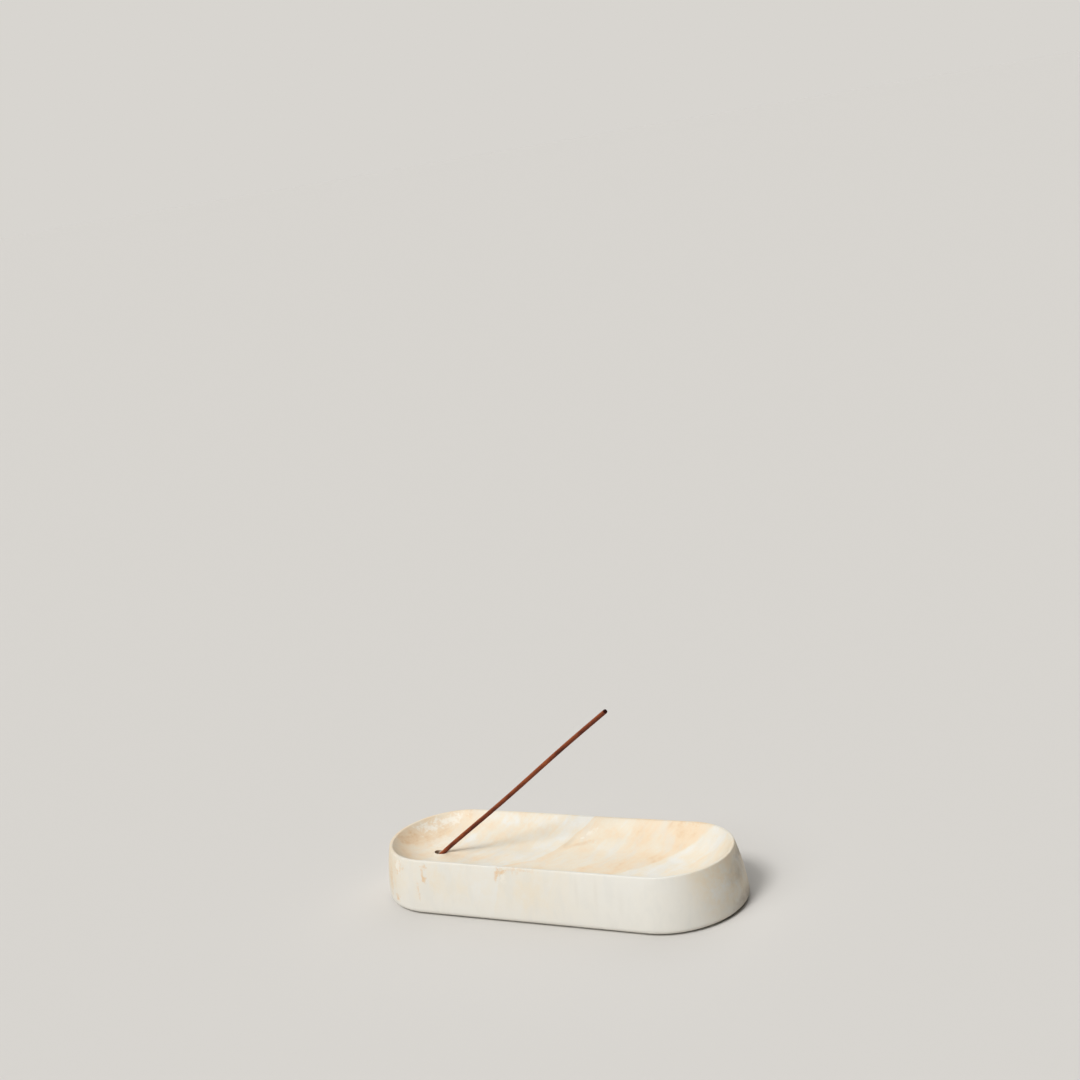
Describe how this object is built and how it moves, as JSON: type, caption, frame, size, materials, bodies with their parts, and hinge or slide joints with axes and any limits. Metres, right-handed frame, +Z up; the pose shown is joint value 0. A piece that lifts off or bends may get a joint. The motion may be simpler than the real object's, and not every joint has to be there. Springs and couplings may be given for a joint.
{
  "type": "incense burner",
  "caption": "Long round-ended cast tray with a shallow ash dish and a slanted socket that holds a leaning incense stick.",
  "frame": {"origin": "middle of the footprint, on the surface that the feet stand on", "axes": "+X along the tray, from the socket end to the far end; +Y across it, to the rear; +Z up"},
  "size_m": [0.17, 0.0608, 0.0856],
  "materials": {
    "marbled_cast_tray": "matte, marbled cream and peach",
    "incense_paste": "matte, pressed powder",
    "char": "matte, burnt",
    "foot_pad": "satin, milky silicone"
  },
  "bodies": {
    "tray": {"tray_body": "marbled_cast_tray", "foot_front_left": "foot_pad", "foot_front_right": "foot_pad", "foot_rear_left": "foot_pad", "foot_rear_right": "foot_pad"},
    "stick": {"incense_stick": "incense_paste", "charred_tip": "char"}
  },
  "joints": [
    {"name": "stick_lift", "type": "slide", "parent": "tray", "child": "stick", "axis": [0.808, 0, 0.5892], "range_m": [0, 0.02]}
  ]
}
